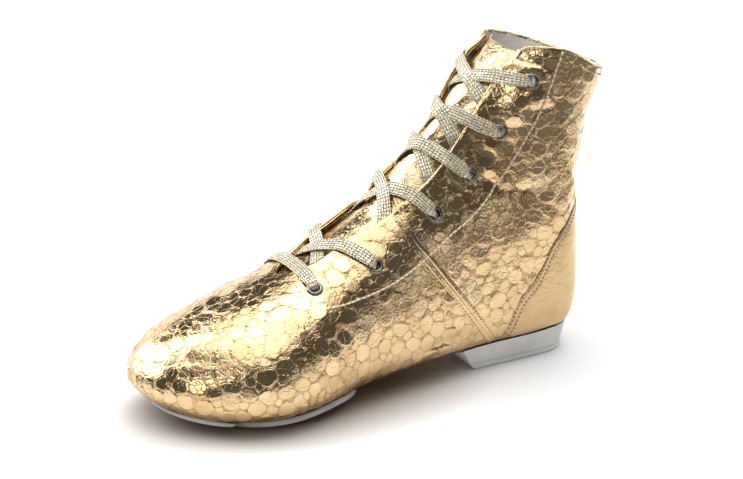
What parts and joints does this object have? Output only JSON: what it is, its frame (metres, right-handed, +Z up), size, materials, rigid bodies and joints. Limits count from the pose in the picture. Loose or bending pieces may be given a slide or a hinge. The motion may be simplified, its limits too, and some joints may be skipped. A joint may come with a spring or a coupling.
{
  "type": "split-sole dance boot",
  "caption": "Soft laced ankle boot for dance, left foot, with a suede patch under the forefoot, a crescent under the toe and a low wedge heel.",
  "frame": {"origin": "middle of the boot's bounding box in plan, on the floor under the sole", "axes": "+X to the toe, +Y to the outer side of the foot, +Z up"},
  "size_m": [0.2564, 0.0898, 0.1615],
  "materials": {
    "foil_leather": "soft leather with a glossy gold foil in scale-like plates",
    "suede": "grey suede, matt nap",
    "heel_rubber": "matt grey",
    "lining": "plain woven cloth",
    "nickel": "polished dark nickel",
    "lurex_braid": "flat braid with metallic yarn"
  },
  "bodies": {
    "root": {"upper": "foil_leather", "tongue": "foil_leather", "heel_counter": "foil_leather", "side_seam_outer": "foil_leather", "side_seam_inner": "foil_leather", "insole": "lining", "forefoot_sole": "suede", "toe_patch": "suede", "heel_block": "heel_rubber", "heel_top_lift": "heel_rubber", "eyelet_outer_1": "nickel", "eyelet_outer_2": "nickel", "eyelet_outer_3": "nickel", "eyelet_outer_4": "nickel", "eyelet_outer_5": "nickel", "eyelet_outer_6": "nickel", "eyelet_inner_1": "nickel", "eyelet_inner_2": "nickel", "eyelet_inner_3": "nickel", "eyelet_inner_4": "nickel", "eyelet_inner_5": "nickel", "eyelet_inner_6": "nickel", "lace_bar": "lurex_braid", "lace_cross_1": "lurex_braid", "lace_cross_2": "lurex_braid", "lace_cross_3": "lurex_braid", "lace_cross_4": "lurex_braid", "lace_cross_5": "lurex_braid"}
  },
  "joints": []
}
